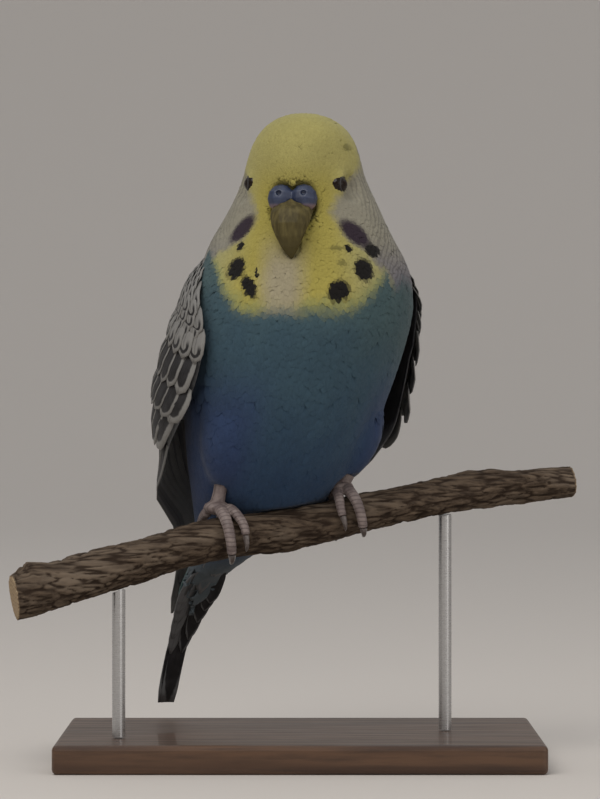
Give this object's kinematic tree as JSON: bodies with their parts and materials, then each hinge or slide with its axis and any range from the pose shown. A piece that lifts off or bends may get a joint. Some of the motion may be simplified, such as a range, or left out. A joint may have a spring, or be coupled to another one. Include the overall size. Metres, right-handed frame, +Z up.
{
  "type": "budgerigar_still_model",
  "caption": "Life-size still model of a blue budgerigar with a yellow face, gripping a short length of branch on a plain display stand",
  "frame": {"origin": "under the middle of the display base, on the surface it rests on", "axes": "+X to the right of someone who faces the model, +Y away from them behind the bird, +Z up"},
  "size_m": [0.1398, 0.0782, 0.1592],
  "materials": {
    "head_plumage": "yellow and cream feathers",
    "body_plumage": "sky-blue feathers",
    "wing_plumage": "dark feathers with pale edges",
    "tail_plumage": "long dark feathers",
    "cere_skin": "smooth blue skin",
    "bill_horn": "olive horn, satin",
    "eye_gloss": "wet and black",
    "foot_skin": "pinkish grey scaled skin",
    "claw_horn": "dark horn",
    "bark": "rough furrowed bark",
    "stand_wood": "dark, oiled",
    "stand_steel": "brushed"
  },
  "bodies": {
    "root": {"head": "head_plumage", "neck": "head_plumage", "torso": "body_plumage", "tail_base": "body_plumage", "thigh_left": "body_plumage", "thigh_right": "body_plumage", "cere": "cere_skin", "bill_upper": "bill_horn", "bill_lower": "bill_horn", "eye_left": "eye_gloss", "eye_right": "eye_gloss", "wing_left_shoulder": "wing_plumage", "wing_left_coverts": "wing_plumage", "wing_left_secondaries": "wing_plumage", "wing_left_primaries": "wing_plumage", "wing_right_shoulder": "wing_plumage", "wing_right_coverts": "wing_plumage", "wing_right_secondaries": "wing_plumage", "wing_right_primaries": "wing_plumage", "tail_feathers": "tail_plumage", "tarsus_left": "foot_skin", "tarsus_right": "foot_skin", "toe_left_1": "foot_skin", "toe_left_2": "foot_skin", "toe_left_3": "foot_skin", "toe_left_4": "foot_skin", "toe_right_1": "foot_skin", "toe_right_2": "foot_skin", "toe_right_3": "foot_skin", "toe_right_4": "foot_skin", "claw_left_1": "claw_horn", "claw_left_2": "claw_horn", "claw_left_3": "claw_horn", "claw_left_4": "claw_horn", "claw_right_1": "claw_horn", "claw_right_2": "claw_horn", "claw_right_3": "claw_horn", "claw_right_4": "claw_horn", "perch": "bark", "stand_base": "stand_wood", "stand_rod_left": "stand_steel", "stand_rod_right": "stand_steel"}
  },
  "joints": []
}
